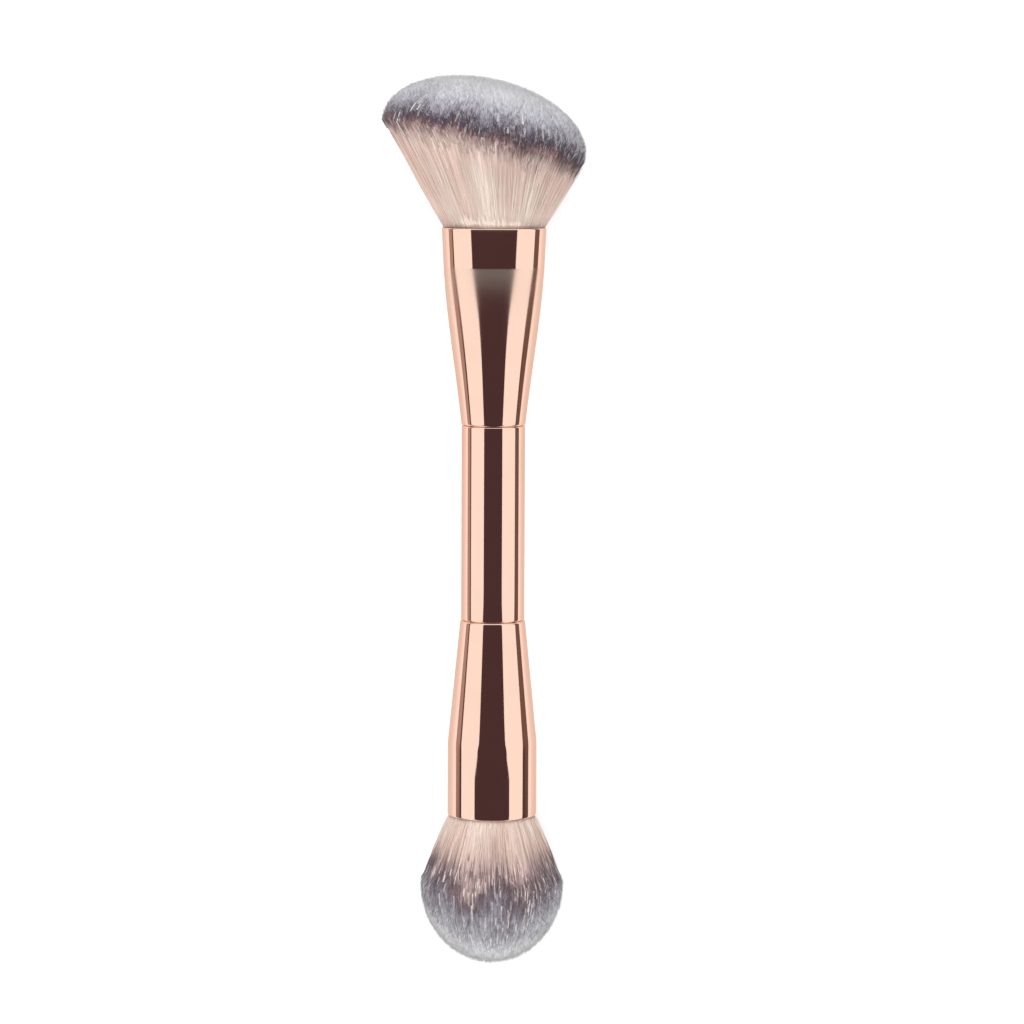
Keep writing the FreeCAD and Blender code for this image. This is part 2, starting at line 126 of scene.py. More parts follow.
class Wire:
    """A node's result on its way through a shader. Python's operators add Math nodes to it."""

    def __init__(self, graph: "Graph", node: bpy.types.Node, key: int | str = 0) -> None:
        """Keeps the graph, the node, and the name or number of the result."""
        self.graph, self.node, self.key = graph, node, key

    def out(self, key: int | str) -> "Wire":
        """The node's result with this name or number."""
        return Wire(self.graph, self.node, key)

    def maths(self, operation: str, other: object = 0.0, turned: bool = False) -> "Wire":
        """Adds a Math node for this value and another, a Wire or a number, put first if turned."""
        first, second = (other, self) if turned else (self, other)
        return self.graph.node("Math", {"operation": operation}, {0: first, 1: second})

    __add__ = __radd__ = partialmethod(maths, "ADD")
    __sub__ = partialmethod(maths, "SUBTRACT")
    __rsub__ = partialmethod(maths, "SUBTRACT", turned=True)
    __mul__ = __rmul__ = partialmethod(maths, "MULTIPLY")
    floor = partialmethod(maths, "FLOOR")
    larger = partialmethod(maths, "MAXIMUM")
    size = partialmethod(maths, "ABSOLUTE")

    def eased(self, low: float, high: float) -> "Wire":
        """Adds a smooth step.

        Args:
            low: Value up to which it gives 0.
            high: Value from which it gives 1.

        Returns:
            The step's result.
        """
        settings = {"interpolation_type": "SMOOTHSTEP"}
        ends = {"Value": self, "From Min": low, "From Max": high}
        return self.graph.node("MapRange", settings, ends)


class Graph:
    """The node tree of a material or the world, built through one method."""

    def __init__(self, tree: bpy.types.NodeTree) -> None:
        """Takes over a tree and empties it."""
        self.tree = tree
        tree.nodes.clear()

    def node(self, kind: str, settings: dict | None = None, inputs: dict | None = None) -> Wire:
        """Adds a node.

        Args:
            kind: Blender's node type without its first words, such as "TexNoise".
            settings: The node's own settings, set first. "stops" are a ramp's (place, colour) pairs.
            inputs: Values or wires for its sockets, by name or number.

        Returns:
            Its first result, from which out() leads to the others.
        """
        node = self.tree.nodes.new("ShaderNode" + kind)
        for name, value in (settings or {}).items():
            if name == "stops":
                self.fill_ramp(node.color_ramp, value)
            else:
                setattr(node, name, value)
        for key, value in (inputs or {}).items():
            if isinstance(value, Wire):
                self.tree.links.new(value.node.outputs[value.key], node.inputs[key])
            elif isinstance(value, tuple) and len(node.inputs[key].default_value) == 4:
                node.inputs[key].default_value = (*value, 1.0)
            else:
                node.inputs[key].default_value = value
        return Wire(self, node)

    @staticmethod
    def fill_ramp(ramp: bpy.types.ColorRamp, stops: list[tuple[float, Colour]]) -> None:
        """Gives a colour ramp its stops.

        Args:
            ramp: The ramp, with its two first stops.
            stops: (place, colour) pairs in order.
        """
        while len(ramp.elements) < len(stops):
            ramp.elements.new(1.0)
        for element, (place, colour) in zip(ramp.elements, stops):
            element.position = place
            element.color = (*colour, 1.0)

    def blend(self, share: object, first: object, second: object) -> Wire:
        """Mixes two colours, each a Wire or a colour, with this share of the second."""
        return self.node("Mix", {"data_type": "RGBA"}, {0: share, 6: first, 7: second}).out(2)

    def bumps(self, height: Wire, strength: float, distance: float) -> Wire:
        """Normals bent by a height, whose full range is the distance in metres."""
        inputs = {"Strength": strength, "Distance": distance, "Height": height}
        return self.node("Bump", inputs=inputs)

    def scaled(self, colour: Wire, factor: Wire) -> Wire:
        """A colour times a number."""
        return self.node("VectorMath", {"operation": "SCALE"}, {0: colour, "Scale": factor})


def new_material(name: str) -> tuple[bpy.types.Material, Graph]:
    """Adds a material whose node tree is empty.

    Args:
        name: Its name.

    Returns:
        The material, and the graph that fills it.
    """
    material = bpy.data.materials.new(name)
    material.use_nodes = True
    return material, Graph(material.node_tree)


def finish_surface(graph: Graph, inputs: dict, kind: str = "BsdfPrincipled") -> None:
    """Ends a material in one shader of this kind, with these socket values."""
    graph.node("OutputMaterial", inputs={"Surface": graph.node(kind, inputs=inputs)})


@dataclass(frozen=True)
class PlatedMetal:
    """Polished plating: a warm metal with faint draw lines along the brush and a touch of haze.

    Attributes:
        crease: Where along Y the pinched ferrule's crease lies, in metres.
        colour: Reflection of the plating, straight on.
        gloss: Roughness of the clean polish.
        haze: How much roughness the haze adds at most.
        pinch: How much the stretch under the crease adds, where pinching has dulled the polish.
        pinch_length: Length of that stretch, in metres.
    """

    crease: float
    colour: Colour = tone(255, 219, 199)
    gloss: float = 0.035
    haze: float = 0.04
    pinch: float = 0.14
    pinch_length: float = 0.022

    def material(self) -> bpy.types.Material:
        """Builds the plating from haze in clouds, draw lines and the dulled stretch.

        Returns:
            The plating as a material.
        """
        material, graph = new_material("plated_metal")
        place = graph.node("TexCoord").out("Object")
        along = graph.node("SeparateXYZ", inputs={0: place}).out("Y")
        dulled = along.eased(self.crease - self.pinch_length, self.crease)
        dulled = dulled * (1.0 - along.eased(self.crease, self.crease + 0.1 * MM))
        lines = graph.node("Mapping", inputs={"Vector": place, "Scale": (900.0, 25.0, 900.0)})
        drawn = graph.node("TexNoise", inputs={"Vector": lines, "Scale": 1.0, "Detail": 3.0})
        cloud = graph.node("TexNoise", inputs={"Vector": place, "Scale": 90.0, "Detail": 4.0})
        haze = cloud.eased(0.45, 0.75)
        rough = self.gloss + self.haze * (haze * 0.6 + drawn.eased(0.5, 0.8) * 0.4)
        worn = tuple(0.97 * part for part in self.colour)
        finish_surface(graph, {
            "Base Color": graph.blend(haze, self.colour, worn),
            "Roughness": rough + dulled * self.pinch,
            "Metallic": 1.0,
            "Normal": graph.bumps(drawn, 0.02, 0.00002),
        })
        return material


@dataclass(frozen=True)
class DippedHair:
    """Synthetic hair dyed in three tones, read along each hair from root to tip.

    Each hair has a column of its own in its map, which sets its shade and how well it took the dye.
    Roots in high columns are warmer. The map's other direction is the place along the hair, measured
    from the middle of the dark band.

    Attributes:
        name: The material's name.
        low: Place of the map's lower side, in millimetres from the band's middle.
        high: Place of its upper side.
        stops: (place in millimetres, colour) pairs from root to tip.
        warm: Colour that some of the roots lean to.
        spread: How far hairs differ in lightness.
        missed: Share of the hairs that took little dye.
        columns: How many kinds of hair there are.
    """

    name: str
    low: float
    high: float
    stops: tuple[tuple[float, Colour], ...]
    warm: Colour
    spread: float
    missed: float
    columns: int = 200

    def share(self, place: np.ndarray | float) -> np.ndarray | float:
        """Where a place along the hair falls on the map, from 0 to 1."""
        return (place - self.low) / (self.high - self.low)

    def material(self) -> bpy.types.Material:
        """Builds the dye along each hair, and the differences between hairs.

        Returns:
            The hair as a material that reads its own map.
        """
        material, graph = new_material(self.name)
        across, along = self.directions(graph)
        column = (across * self.columns).floor()
        light, tilt, shine = self.lots(graph, column + 0.5)
        uptake, painted_bounce_shadow, _ = self.lots(graph, column + self.columns + 0.5)
        stops = [(float(self.share(place)), colour) for place, colour in self.stops]
        dyed, bare = (graph.node("ValToRGB", {"stops": ramp}, {"Fac": along})
                      for ramp in (stops, [stops[0], stops[-1]]))
        missed = uptake.eased(1 - 1.5 * self.missed, 1 - 0.5 * self.missed)
        coloured = graph.blend(missed * (painted_bounce_shadow * 0.6 + 0.3), dyed, bare)
        root = 1.0 - along.eased(stops[1][0], stops[3][0])
        leaning = across.eased(0.2, 0.9) * 0.6 + tilt * 0.25
        warmed = graph.blend(root * leaning, coloured, self.warm)
        shade = graph.scaled(warmed, (light - 0.5) * self.spread + 1.0)
        finish_surface(graph, {
            "Base Color": shade,
            "Roughness": shine * 0.2 + 0.42,
            "Specular IOR Level": 0.3,
            "Sheen Weight": 0.15,
            "Sheen Roughness": 0.5,
        })
        return material

    @staticmethod
    def lots(graph: Graph, seed: Wire) -> list[Wire]:
        """Draws three random numbers that depend on a seed.

        Args:
            graph: The material's graph.
            seed: The seed, one for each hair.

        Returns:
            The three numbers, from 0 to 1.
        """
        chance = graph.node("TexWhiteNoise", {"noise_dimensions": "1D"}, {"W": seed}).out("Color")
        parts = graph.node("SeparateColor", inputs={0: chance})
        return [parts.out(part) for part in ("Red", "Green", "Blue")]

    @staticmethod
    def directions(graph: Graph) -> tuple[Wire, Wire]:
        """The two directions of the hair's own map."""
        parts = graph.node("SeparateXYZ", inputs={0: graph.node("UVMap", {"uv_map": STRAND_MAP})})
        return parts.out("X"), parts.out("Y")


@dataclass(frozen=True)
class MottledPlastic:
    """A moulded or set filling that hides inside the shells: one colour, faintly clouded.

    Attributes:
        name: The material's name.
        colour: Its colour.
        cloud: The colour of its clouds.
        rough: Roughness.
        grain: Clouds for each metre.
    """

    name: str
    colour: Colour
    cloud: Colour
    rough: float
    grain: float

    def material(self) -> bpy.types.Material:
        """Builds the filling from one noise, which sets its colour, roughness and relief.

        Returns:
            The filling as a material.
        """
        material, graph = new_material(self.name)
        place = graph.node("TexCoord").out("Object")
        noise = graph.node("TexNoise", inputs={"Vector": place, "Scale": self.grain, "Detail": 5.0})
        finish_surface(graph, {
            "Base Color": graph.blend(noise.eased(0.35, 0.65), self.colour, self.cloud),
            "Roughness": noise * 0.15 + self.rough,
            "Normal": graph.bumps(noise, 0.15, 0.0001),
        })
        return material


# Meshes

def linked(name: str, data: bpy.types.ID) -> bpy.types.Object:
    """Makes an object and puts it in the scene.

    Args:
        name: The object's name.
        data: Its mesh, lamp or camera.

    Returns:
        The object.
    """
    made = bpy.data.objects.new(name, data)
    bpy.context.scene.collection.objects.link(made)
    return made


def add_piece(name: str, node: str, place: Place, points: np.ndarray, corners: np.ndarray,
              counts: np.ndarray, material: bpy.types.Material, uv: np.ndarray | None = None) -> None:
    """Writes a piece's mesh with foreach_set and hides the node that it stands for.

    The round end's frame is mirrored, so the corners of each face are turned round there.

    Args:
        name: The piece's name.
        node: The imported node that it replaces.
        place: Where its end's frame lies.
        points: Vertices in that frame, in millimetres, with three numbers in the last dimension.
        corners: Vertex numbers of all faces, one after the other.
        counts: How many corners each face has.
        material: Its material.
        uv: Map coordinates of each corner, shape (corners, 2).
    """
    mesh = bpy.data.meshes.new(name)
    starts = np.cumsum(counts) - counts
    if place.end is End.ROUND:
        back = np.repeat(2 * starts + counts - 1, counts) - np.arange(len(corners))
        corners, uv = corners[back], None if uv is None else uv[back]
    vertices = (place.settle(points).reshape(-1, 3) * MM).astype(np.float32)
    mesh.vertices.add(len(vertices))
    mesh.vertices.foreach_set("co", vertices.ravel())
    mesh.loops.add(len(corners))
    mesh.loops.foreach_set("vertex_index", corners.astype(np.int32))
    mesh.polygons.add(len(counts))
    mesh.polygons.foreach_set("loop_start", starts.astype(np.int32))
    mesh.polygons.foreach_set("use_smooth", np.ones(len(counts), bool))
    if uv is not None:
        layer = mesh.uv_layers.new(name=STRAND_MAP)
        layer.data.foreach_set("uv", uv.astype(np.float32).ravel())
    mesh.materials.append(material)
    mesh.update(calc_edges=True)
    mesh.validate()
    piece = linked(name, mesh)
    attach(piece, "root")
    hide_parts(node)
    LOG.info("%s: %d triangles", name, int((counts - 2).sum()))


def grid_quads(rows: int, columns: int, closed: bool) -> np.ndarray:
    """Quads of a grid whose rows go round an axis.

    Args:
        rows: How many rings of vertices it has.
        columns: Vertices in each ring.
        closed: True where the last ring joins the first, as in a tube's wall.

    Returns:
        Vertex numbers of all quads, one after the other.
    """
    row, column = np.divmod(np.arange((rows if closed else rows - 1) * columns), columns)
    row, next_row = row * columns, (row + 1) % rows * columns
    after = (column + 1) % columns
    return np.stack([next_row + column, next_row + after, row + after, row + column], axis=-1).ravel()


# Metal shells

@dataclass(frozen=True)
class Shell:
    """A drawn metal tube with rounded ends, as a profile carried round the axis.

    Heights run from 0 at the top edge down to minus the length. A subclass says how wide and deep
    the outside is at each height.

    Attributes:
        name: The piece's name.
        node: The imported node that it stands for.
        place: Its frame, with the top edge at the mouth.
        length: Length of the tube.
        wall: Wall thickness.
        top_round: Rounding of the top edge.
        foot_round: Rounding of the lower edge.
        lip: Thickness of the lip turned in at the foot, or 0.
        bore: Radius inside that lip.
        sweeps: How many degrees the upper and the lower rounding turn.
        around: Vertices round the axis.
        along: Rings on the outside.
    """

    name: str
    node: str
    place: Place
    length: float
    wall: float
    top_round: float
    foot_round: float
    lip: float = 0.0
    bore: float = 0.0
    sweeps: tuple[float, float] = (90.0, 60.0)
    around: int = 240
    along: int = 12

    def skin(self, height: np.ndarray) -> tuple[np.ndarray, np.ndarray]:
        """Half width and half depth of the outside at these heights."""
        raise NotImplementedError

    def heights(self) -> np.ndarray:
        """Heights of the outside's rings, from foot to top."""
        return np.linspace(*self.straight(), self.along)

    def straight(self) -> tuple[float, float]:
        """Heights at which the lower rounding ends and the upper one starts."""
        top, foot = (math.sin(math.radians(sweep)) for sweep in self.sweeps)
        return self.foot_round * foot - self.length, -self.top_round * top

    def ring(self, width: np.ndarray, depth: np.ndarray, inset: np.ndarray,
             facing: np.ndarray) -> tuple[np.ndarray, np.ndarray]:
        """Points of a round section, each found by the direction that it faces."""
        radius = (width - inset)[:, None]
        return radius * np.cos(facing), radius * np.sin(facing)

    def profile(self) -> tuple[np.ndarray, np.ndarray]:
        """The wall's outline, once round: up the outside, over the top, down the inside, back.

        A rounding is an arc that starts along the outside: the inset is the radius times 1 - cos of
        the angle turned, and the height grows with the radius times its sine. Each sharp corner is
        two points a hair's breadth apart.

        Returns:
            Heights and insets from the outside, one of each for every ring.
        """
        over, under = (np.radians(np.linspace(0, sweep, 9)[1:]) for sweep in self.sweeps)
        outside = self.heights()
        top = (self.top_round * (np.sin(over) - math.sin(over[-1])),
               self.top_round * (1 - np.cos(over)))
        under = under[::-1]
        below = (self.foot_round * (math.sin(under[0]) - np.sin(under)) - self.length,
                 self.foot_round * (1 - np.cos(under)))
        floor = self.lip - self.length
        width, _ = self.skin(np.array([floor]))
        reach = float(width[0]) - self.bore if self.lip else self.wall
        corners = [(0.0, self.wall)]
        if self.lip:
            corners += [(floor, self.wall), (floor, reach)]
        corners += [(-self.length, reach)]
        path = [(0.0, top[1][-1]), *corners, (-self.length, below[1][0])]
        inner = [self.near(path[i], path[j]) for i in range(1, len(path) - 1) for j in (i - 1, i + 1)]
        inner = np.array(inner)
        return (np.concatenate([outside, top[0], inner[:, 0], below[0]]),
                np.concatenate([np.zeros(len(outside)), top[1], inner[:, 1], below[1]]))

    @staticmethod
    def near(corner: tuple[float, float], other: tuple[float, float]) -> tuple[float, float]:
        """A point a fiftieth of a millimetre from a corner towards another."""
        step = 0.02 / math.dist(corner, other)
        return tuple(a + (b - a) * step for a, b in zip(corner, other))

    def build(self, material: bpy.types.Material) -> None:
        """Makes the shell in its node's place: its profile carried round the axis.

        Args:
            material: The plating.
        """
        height, inset = self.profile()
        facing = np.arange(self.around) * 2 * math.pi / self.around
        across, up = self.ring(*self.skin(height), inset, facing)
        points = np.stack(np.broadcast_arrays(across, height[:, None], up), axis=-1)
        corners = grid_quads(len(height), self.around, True)
        add_piece(self.name, self.node, self.place, points, corners,
                  np.full(len(corners) // 4, 4), material)


@dataclass(frozen=True)
class GripSleeve(Shell):
    """The plain round tube in the middle."""

    radius: float = 6.6
    sweeps: tuple[float, float] = (60.0, 60.0)

    def skin(self, height: np.ndarray) -> tuple[np.ndarray, np.ndarray]:
        """The same radius at every height."""
        radius = np.full(len(height), self.radius)
        return radius, radius


@dataclass(frozen=True)
class RoundFerrule(Shell):
    """The shell of the round head: a cone eased into a straight band.

    Attributes:
        neck: Radius at the sleeve.
        band: Radius of the band.
        band_length: From the mouth to where cone and band would meet.
        bend: Radius of the ease between them.
    """

    neck: float = 6.75
    band: float = 9.3
    band_length: float = 15.3
    bend: float = 12.0
    along: int = 60

    def skin(self, height: np.ndarray) -> tuple[np.ndarray, np.ndarray]:
        """Straight lines for cone and band, joined by an arc that touches both.

        The arc starts reach = bend * tan(turn / 2) on either side of the corner. On it the radius is
        the band's, less bend * (1 - cos) of the angle turned, whose sine is the distance over bend.

        Args:
            height: Heights over the mouth, all below 0.

        Returns:
            The radius at each height, twice.
        """
        turn = math.atan((self.band - self.neck) / (self.length - self.band_length))
        reach = self.bend * math.tan(turn / 2)
        past = -height - self.band_length
        angle = np.arcsin(np.clip((past + reach) / self.bend, 0, math.sin(turn)))
        arc = self.band - self.bend * (1 - np.cos(angle))
        cone = self.band - past * math.tan(turn)
        radius = np.where(past > reach * math.cos(turn), cone, arc)
        return radius, radius


@dataclass(frozen=True)
class AngledFerrule(Shell):
    """The shell of the angled head: a round neck, a taper and a band pinched to a flat-faced oval.

    Attributes:
        stations: (distance under the mouth, half width, half depth) at crease, shoulder, waist, neck.
        mouth: Half width and half depth at the mouth.
        oval_turn: Angle in degrees at which a flat face passes into a round side.
    """

    stations: tuple[tuple[float, float, float], ...] = (
        (8.3, 10.45, 8.05), (16.0, 9.8, 8.95), (27.0, 8.42, 8.25), (41.0, 6.65, 6.65))
    mouth: tuple[float, float] = (10.85, 8.05)
    oval_turn: float = 21.4
    around: int = 300
    along: int = 70

    def heights(self) -> np.ndarray:
        """Rings of the taper and of the band, with two close together at the crease.

        Returns:
            Their heights, from foot to top.
        """
        crease = -self.stations[0][0]
        low, high = self.straight()
        taper = np.linspace(low, crease - 0.03, self.along)
        band = np.linspace(crease + 0.03, high, self.along // 4)
        return np.concatenate([taper, band])

    def skin(self, height: np.ndarray) -> tuple[np.ndarray, np.ndarray]:
        """A straight band over the crease, and under it the cubic through the four stations.

        Args:
            height: Heights over the mouth, all below 0.

        Returns:
            Half width and half depth at each height.
        """
        below = -height
        places, *sizes = np.array(self.stations).T
        found = []
        for size, top in zip(sizes, self.mouth):
            cubic = np.polyval(np.polyfit(places, size, 3), below)
            band = top + (size[0] - top) * below / places[0]
            found.append(np.where(below > places[0], cubic, band))
        return found[0], found[1]

    def ring(self, width: np.ndarray, depth: np.ndarray, inset: np.ndarray,
             facing: np.ndarray) -> tuple[np.ndarray, np.ndarray]:
        """Points of an oval of four arcs, each found by the direction that it faces.

        With sin and cos of the turn, the wide arcs' radius is larger than the tight ones' by
        spread = (width - depth) / (sin + cos - 1). A tight arc is centred spread * sin to its side,
        and a wide one spread * cos behind the middle.

        Args:
            width: Half width of each ring.
            depth: Its half depth.
            inset: How far it lies inside the outside.
            facing: Directions that its points face.

        Returns:
            Places across and in depth, shape (rings, directions).
        """
        sine, cosine = math.sin(math.radians(self.oval_turn)), math.cos(math.radians(self.oval_turn))
        spread = ((width - depth) / (sine + cosine - 1))[:, None]
        tight = (width - inset)[:, None] - spread * sine
        flat = np.abs(np.sin(facing)) > cosine
        radius = tight + spread * flat
        across = np.where(flat, 0, np.sign(np.cos(facing)) * sine)
        back = np.where(flat, -np.sign(np.sin(facing)) * cosine, 0)
        return spread * across + radius * np.cos(facing), spread * back + radius * np.sin(facing)


# Hair

class Pattern(Enum):
    """A head's wave patterns, each by its number and its wave length in millimetres."""

    DRIFT = (0, 9.0)
    TUFT = (1, 1.6)
    LEAN = (2, 4.0)
    WARMTH = (3, 11.0)


@dataclass(frozen=True)
class Bunch:
    """Those hairs of a head that one piece draws.

    Attributes:
        tag: End of the piece's name.
        count: How many hairs.
        low: Fall in degrees at which they start. They go on to the head's last.
        length: Length drawn of each hair, down from its tip, or None for all of it.
        steps: Points along a hair.
        radius: Radius at which a hair starts, thicker than real so that a bundle needs fewer. From
            there it tapers to nothing.
        depths: Least and largest depth of the roots inside the bundle's edge.
    """

    tag: str
    count: int
    low: float
    length: float | None
    steps: int
    radius: float
    depths: tuple[float, float]


@dataclass(frozen=True)
class HairHead:
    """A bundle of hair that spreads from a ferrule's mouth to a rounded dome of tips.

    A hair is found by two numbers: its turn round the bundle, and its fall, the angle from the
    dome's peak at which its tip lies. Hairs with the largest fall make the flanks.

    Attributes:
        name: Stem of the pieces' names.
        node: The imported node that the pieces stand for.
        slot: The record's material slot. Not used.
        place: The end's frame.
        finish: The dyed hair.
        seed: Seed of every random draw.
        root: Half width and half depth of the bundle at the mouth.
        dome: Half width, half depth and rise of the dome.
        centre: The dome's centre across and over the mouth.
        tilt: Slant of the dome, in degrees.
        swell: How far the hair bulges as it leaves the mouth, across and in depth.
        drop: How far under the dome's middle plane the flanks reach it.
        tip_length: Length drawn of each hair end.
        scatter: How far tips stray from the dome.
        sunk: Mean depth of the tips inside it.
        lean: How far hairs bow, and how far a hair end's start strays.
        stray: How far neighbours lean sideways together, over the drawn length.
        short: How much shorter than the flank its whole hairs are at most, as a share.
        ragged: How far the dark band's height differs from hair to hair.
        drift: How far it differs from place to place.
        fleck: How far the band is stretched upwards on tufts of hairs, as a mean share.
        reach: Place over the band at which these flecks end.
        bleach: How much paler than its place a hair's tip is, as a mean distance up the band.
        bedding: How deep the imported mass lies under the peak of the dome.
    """

    name: str
    node: str
    slot: str
    place: Place
    finish: DippedHair
    seed: int
    root: tuple[float, float]
    dome: tuple[float, float, float]
    centre: tuple[float, float]
    tilt: float
    swell: tuple[float, float]
    drop: float = 0.8
    tip_length: float = 3.6
    scatter: float = 0.16
    sunk: float = 0.18
    lean: float = 0.12
    stray: float = 0.35
    short: float = 0.03
    ragged: float = 0.6
    drift: float = 0.35
    fleck: float = 2.4
    reach: float = 8.0
    bleach: float = 3.6
    bedding: float = 0.8

    @property
    def last_fall(self) -> float:
        """Fall at which the flanks reach the dome, in degrees."""
        return math.degrees(math.acos(-self.drop / self.dome[2]))

    def tip_at(self, fall: np.ndarray, turn: np.ndarray, depth: np.ndarray | float = 0) -> np.ndarray:
        """Points of the dome: an ellipsoid by fall and turn, tilted about the depth direction.

        Args:
            fall: Angles from the peak.
            turn: Angles round the bundle.
            depth: How far inside the dome, in millimetres.

        Returns:
            Points with across, height and depth in the last dimension.
        """
        width, thick, rise = self.dome
        out = np.sin(fall) * np.cos(turn) * (width - depth)
        up = np.sin(fall) * np.sin(turn) * (thick - depth)
        over = np.cos(fall) * (rise - depth)
        sine, cosine = math.sin(math.radians(self.tilt)), math.cos(math.radians(self.tilt))
        return np.stack([self.centre[0] + out * cosine + over * sine,
                         self.centre[1] - out * sine + over * cosine, up], axis=-1)

    def root_at(self, fall: np.ndarray, turn: np.ndarray, depth: np.ndarray | float = 0) -> np.ndarray:
        """Where hairs pass the mouth: sin(fall) of the way out to its edge, or at it on the flanks.

        Args:
            fall: Angles of the hairs' tips from the peak.
            turn: Angles round the bundle.
            depth: How far inside the bundle's edge, in millimetres.

        Returns:
            Points with across, height and depth in the last dimension.
        """
        out = np.where(fall < math.pi / 2, np.sin(fall), 1.0)
        width, thick = self.root
        return np.stack([out * np.cos(turn) * (width - depth), np.full_like(out, -0.3),
                         out * np.sin(turn) * (thick - depth)], axis=-1)

    def bulge(self, way: np.ndarray, fall: np.ndarray, turn: np.ndarray) -> np.ndarray:
        """How far a hair stands outside the straight line from its root to its tip.

        It is the swell times (1 - way) squared, reached within the first part of the way, and less
        for inner hairs.

        Args:
            way: Share of the way from root to tip.
            fall: Angle of the hair's tip from the peak.
            turn: Angle round the bundle.

        Returns:
            The distance across, in height and in depth.
        """
        out = np.sin(np.minimum(fall, math.pi / 2)) * (1 - way) ** 2 * np.minimum(1, 14 * way)
        across, up = self.swell
        return np.stack([across * out * np.cos(turn), 0 * out, up * out * np.sin(turn)], axis=-1)

    def band_place(self, points: np.ndarray) -> np.ndarray:
        """How far points lie above the middle of the dark band. Each head has its own."""
        raise NotImplementedError

    def waves(self, points: np.ndarray, pattern: Pattern) -> np.ndarray:
        """A smooth random height over space, with mean 0 and spread 1, the same for all pieces.

        It is half the sum of eight cosine waves of one length in random directions.

        Args:
            points: Places in millimetres, with three numbers in the last dimension.
            pattern: Which of the head's wave patterns.

        Returns:
            The height at each point.
        """
        kind, length = pattern.value
        rng = np.random.default_rng((self.seed, kind))
        ahead = rng.normal(0, 1, (8, 3))
        ahead *= 2 * math.pi / length / np.linalg.norm(ahead, axis=1, keepdims=True)
        return np.cos(points @ ahead.T + rng.uniform(0, 2 * math.pi, 8)).sum(axis=-1) / 2

    def dyed(self, rng: np.random.Generator, paths: np.ndarray) -> np.ndarray:
        """Each point's place from the middle of the dark band, as its own hair took the dye.

        The band is shifted on each hair, and its upper side is stretched on about half of the small
        tufts and shorter on the others, so that dark flecks reach up between pale ones. A tip over
        the band's middle counts as further up than it is, by the bleach times the sixth power of the
        way along the hair, and more so on the pale tufts.

        Args:
            rng: Source of the random draws.
            paths: Points of the hairs, shape (hairs, steps, 3).

        Returns:
            Places in millimetres, shape (hairs, steps).
        """
        count, steps, _ = paths.shape
        tips = paths[:, -1]
        drift = self.drift * self.waves(tips, Pattern.DRIFT) + rng.normal(0, self.ragged, count)
        place = self.band_place(paths) - drift[:, None]
        shrink, dark_bleach, pale_bleach = 0.35, 0.4, 1.6
        dark = self.waves(tips, Pattern.TUFT) + rng.normal(0, 0.3, count) > 0
        longer = np.where(dark, self.fleck * rng.exponential(1.0, count), -shrink)
        stretch = 1 + longer[:, None] * np.clip(1 - place / self.reach, 0, 1)
        place = np.where(place > 0, place / stretch, place)
        paler = self.bleach * rng.exponential(np.where(dark, dark_bleach, pale_bleach))
        paler = paler * np.clip(place[:, -1] / 2 + 0.5, 0, 1)
        return place + paler[:, None] * np.linspace(0, 1, steps) ** 6

    def drawn_hairs(self, rng: np.random.Generator, bunch: Bunch) -> np.ndarray:
        """Draws hairs whose tips lie evenly over a zone of the dome.

        A hair runs from its root to its tip with a slight bow, which is a half wave of the way along
        it, and leans sideways with its neighbours.

        Args:
            rng: Source of the random draws.
            bunch: Which hairs.

        Returns:
            Paths in the end's frame, shape (hairs, steps, 3).
        """
        turn, fall = self.even_draw(rng, bunch)
        count = len(turn)
        tip = self.tip_at(fall, turn, self.sunk * rng.exponential(1.0, count))
        tip = tip + rng.normal(0, self.scatter, (count, 3))
        root = self.root_at(fall, turn, rng.uniform(*bunch.depths, count))
        drawn = np.linspace(0, 1, bunch.steps)
        bend = rng.normal(0, self.lean, (count, 1, 3))
        aside = self.stray * (self.waves(tip, Pattern.LEAN) + rng.normal(0, 0.7, count))
        aside = (np.stack([-np.sin(turn), 0 * turn, np.cos(turn)], axis=-1) * aside[:, None])[:, None]
        if bunch.length is None:
            way = drawn ** 1.2 * (1 - self.short * rng.random((count, 1)))
            bow = bend * np.sin(math.pi * way)[..., None] + 0.5 * aside * way[..., None]
        else:
            whole = np.linalg.norm(tip - root, axis=1)[:, None]
            part = bunch.length * rng.uniform(0.6, 1.4, (count, 1)) / whole
            way = 1 - part + part * drawn
            bow = (bend + aside) * (1 - drawn)[:, None]
        straight = root[:, None, :] + (tip - root)[:, None, :] * way[..., None]
        return straight + bow + self.bulge(way, fall[:, None], turn[:, None])

    def even_draw(self, rng: np.random.Generator, bunch: Bunch) -> tuple[np.ndarray, np.ndarray]:
        """Draws tips evenly over the dome's area, each kept or dropped by the area that it stands for.

        Args:
            rng: Source of the random draws.
            bunch: Which hairs.

        Returns:
            The tips' turns and falls.
        """
        width, thick, rise = self.dome
        tries = 6 * bunch.count
        turn = rng.uniform(0, 2 * math.pi, tries)
        low, high = (math.cos(math.radians(edge)) for edge in (bunch.low, self.last_fall))
        fall = np.arccos(rng.uniform(high, low, tries))
        facing = np.stack([np.sin(fall) * np.cos(turn) / width, np.sin(fall) * np.sin(turn) / thick,
                           np.cos(fall) / rise], axis=-1)
        area = np.linalg.norm(facing, axis=1)
        kept = np.flatnonzero(rng.random(tries) < area / area.max())[:bunch.count]
        return turn[kept], fall[kept]

